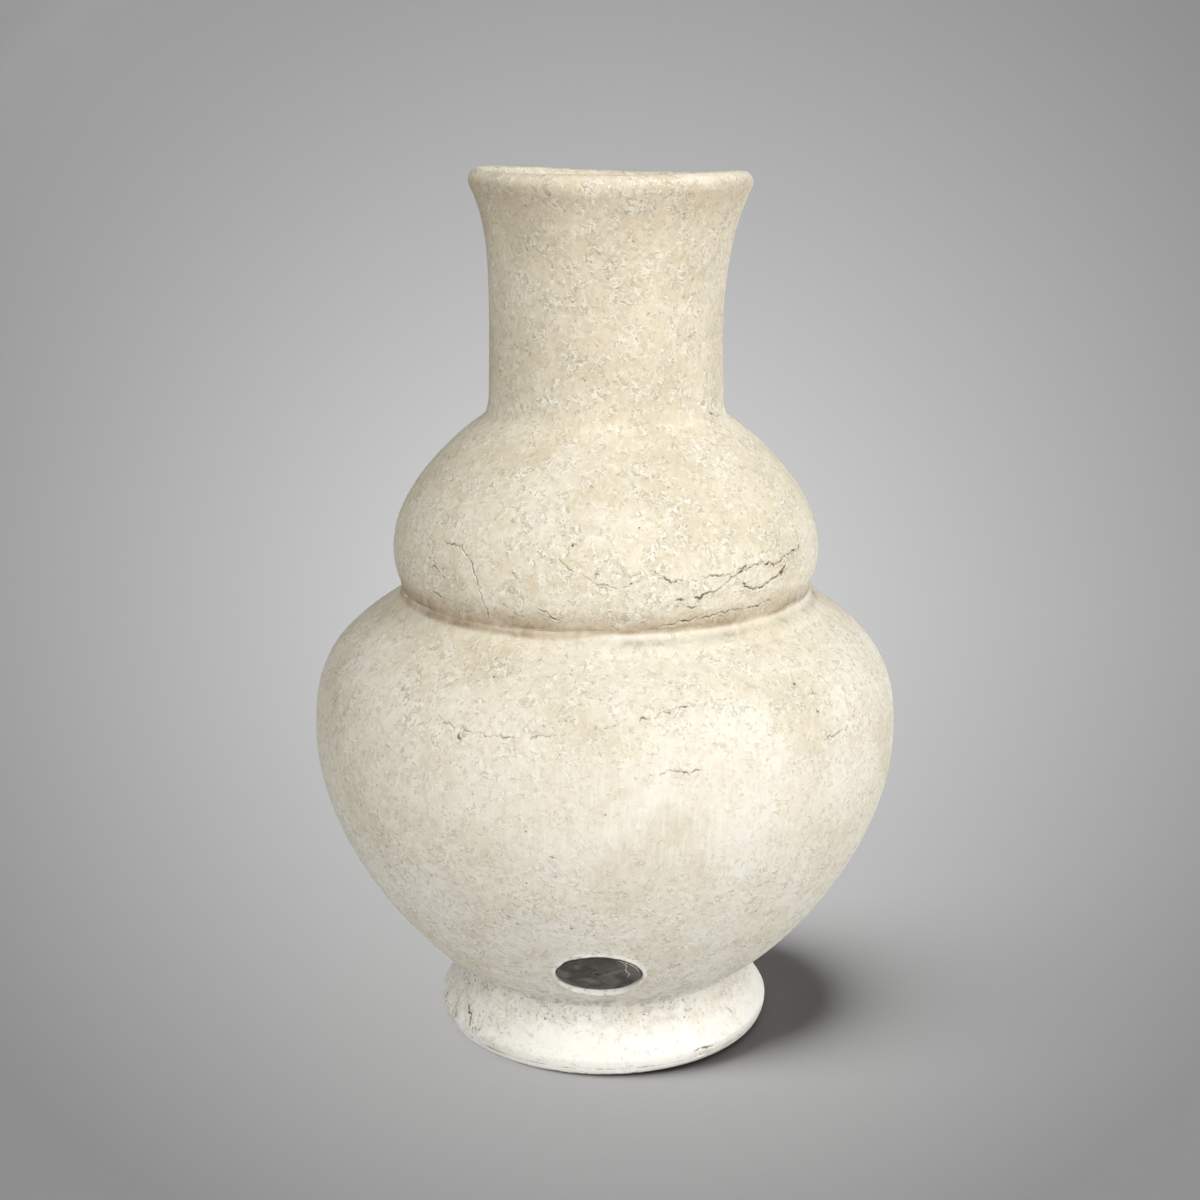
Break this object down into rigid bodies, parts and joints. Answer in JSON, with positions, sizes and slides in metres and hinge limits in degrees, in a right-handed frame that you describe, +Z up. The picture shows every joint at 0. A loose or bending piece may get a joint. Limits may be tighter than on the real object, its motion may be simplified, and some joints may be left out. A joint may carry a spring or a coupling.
{
  "type": "vase",
  "caption": "Tall double-gourd vase in whitewashed stoneware: footed round belly, smaller round bulb, flared neck with a rolled lip, and a plain round metal badge set low on the front",
  "frame": {"origin": "on the table, under the middle of the foot", "axes": "+Z up, -Y towards the side with the badge, +X to the right as seen from that side"},
  "size_m": [0.2794, 0.2794, 0.4136],
  "materials": {
    "whitewashed_clay": "matt, mottled whitewash over fired clay",
    "badge_metal": "aged dark grey, satin",
    "glue": "set, hidden behind the badge",
    "felt": "pressed felt"
  },
  "bodies": {
    "root": {"foot_ring": "whitewashed_clay", "lower_body": "whitewashed_clay", "upper_body": "whitewashed_clay", "neck": "whitewashed_clay", "crease_seam": "whitewashed_clay", "badge_disc": "badge_metal", "badge_glue": "glue", "felt_pad_1": "felt", "felt_pad_2": "felt", "felt_pad_3": "felt", "felt_pad_4": "felt"}
  },
  "joints": []
}
